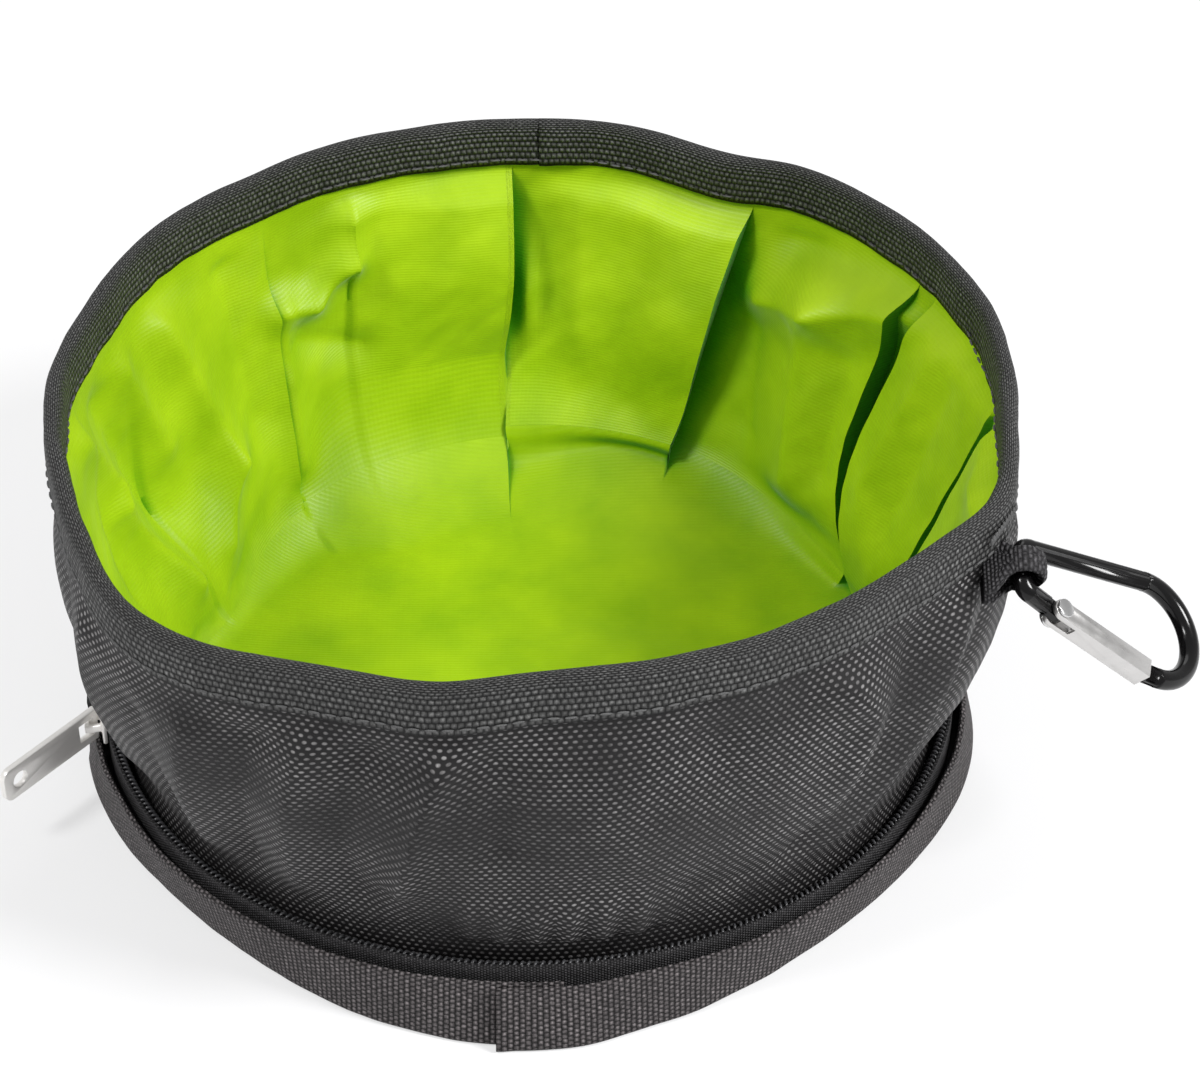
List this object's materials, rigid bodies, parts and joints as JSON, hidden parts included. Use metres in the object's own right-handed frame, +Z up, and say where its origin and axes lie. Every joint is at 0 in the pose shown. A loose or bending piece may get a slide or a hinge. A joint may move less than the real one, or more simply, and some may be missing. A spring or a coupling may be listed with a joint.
{
  "type": "collapsible pet bowl",
  "caption": "Soft folding pet bowl with a coated lining, bound rim, carabiner loop and a shallow zipped pouch under it that the folded bowl packs into.",
  "frame": {"origin": "middle of the pouch's underside, on the ground", "axes": "+Z up, -Y towards the front where the zip's webbing laps, +X towards the carabiner"},
  "size_m": [0.2784, 0.225, 0.108],
  "materials": {
    "black_cloth": "matt",
    "webbing": "matt",
    "outer_cloth": "satin",
    "lining": "satin",
    "board": "matt",
    "zip_tape": "matt",
    "zip_teeth": "satin",
    "thread": "matt",
    "zip_metal": "satin",
    "hook_black": "gloss",
    "gate_silver": "satin",
    "steel": "gloss"
  },
  "bodies": {
    "tray": {"base_panel": "black_cloth", "band_left": "webbing", "band_right": "webbing", "rear_panel": "black_cloth", "hinge_gusset": "black_cloth", "tray_zip_tape": "zip_tape", "tray_zip_coil": "zip_teeth", "zip_end_box": "zip_teeth", "zip_top_stop": "zip_teeth"},
    "bowl": {"bowl_base": "black_cloth", "floor_board": "board", "outer_wall": "outer_cloth", "lining_wall": "lining", "lining_floor": "lining", "hem_zip_tape": "zip_tape", "hem_zip_coil": "zip_teeth"},
    "rim": {"rim_binding": "webbing", "rim_stitching": "thread", "carabiner_loop": "webbing", "loop_bartack": "thread"},
    "slider": {"zip_slider": "zip_metal"},
    "pull": {"zip_pull": "zip_metal"},
    "hook": {"carabiner_body": "hook_black", "gate_rivet": "steel"},
    "gate": {"carabiner_gate": "gate_silver", "gate_spring": "steel"}
  },
  "joints": [
    {"name": "pouch_mouth", "type": "hinge", "parent": "tray", "child": "bowl", "pos_m": [0, 0.108, 0.018], "axis": [-1, 0, 0], "range_deg": [0, 12]},
    {"name": "collapse", "type": "slide", "parent": "bowl", "child": "rim", "axis": [0, 0, 1], "range_m": [-0.06, 0], "deforming": ["outer_wall", "lining_wall"]},
    {"name": "zip_slide", "type": "hinge", "parent": "tray", "child": "slider", "pos_m": [0, 0, 0.018], "axis": [0, 0, 1], "range_deg": [0, 166]},
    {"name": "pull_swing", "type": "hinge", "parent": "slider", "child": "pull", "pos_m": [-0.10525, -0.02237, 0.01865], "axis": [0, 0, 1], "range_deg": [-100, 34]},
    {"name": "carabiner_swing", "type": "hinge", "parent": "rim", "child": "hook", "pos_m": [0.10989, -0.05493, 0.0925], "axis": [0, 0.9272, 0.3746], "range_deg": [-60, 45]},
    {"name": "gate_open", "type": "hinge", "parent": "hook", "child": "gate", "pos_m": [0.11783, -0.06006, 0.08386], "axis": [0.6088, -0.2972, 0.7356], "range_deg": [0, 30], "stiffness_Nm_per_rad": 0.02, "springref_deg": -17.19}
  ]
}
